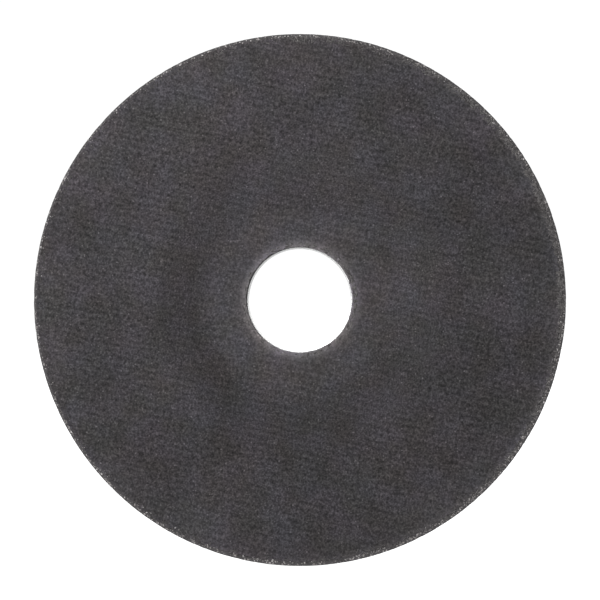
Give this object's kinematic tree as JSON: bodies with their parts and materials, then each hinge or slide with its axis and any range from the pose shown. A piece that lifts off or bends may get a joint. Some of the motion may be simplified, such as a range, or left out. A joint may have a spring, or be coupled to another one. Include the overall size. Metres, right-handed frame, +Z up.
{
  "type": "depressed-centre grinding wheel",
  "caption": "Resin-bonded grinding wheel with a depressed centre: layered abrasive and glass nets in a shallow dish, dark cloth face, paper label and steel bore ring.",
  "frame": {"origin": "on the spin axis, in the centre of the wheel's bounding box, inside the bore", "axes": "+Y along the spin axis from the recessed grinding face towards the machine side, +Z up; the wheel stands upright as on its spindle"},
  "size_m": [0.115, 0.0114, 0.115],
  "materials": {
    "charcoal_cloth": "matte",
    "resin_coated_net": "satin",
    "bare_glass_net": "satin",
    "bonded_grit": "matte",
    "label_paper": "matte",
    "zinc_plated_steel": "satin"
  },
  "bodies": {
    "root": {"front_cover_cloth": "charcoal_cloth", "front_glass_net": "resin_coated_net", "front_abrasive_layer": "bonded_grit", "middle_glass_net": "bare_glass_net", "back_abrasive_layer": "bonded_grit", "hub_reinforcing_net": "bare_glass_net", "back_glass_net": "resin_coated_net", "back_label": "label_paper", "steel_bore_ring": "zinc_plated_steel"}
  },
  "joints": []
}
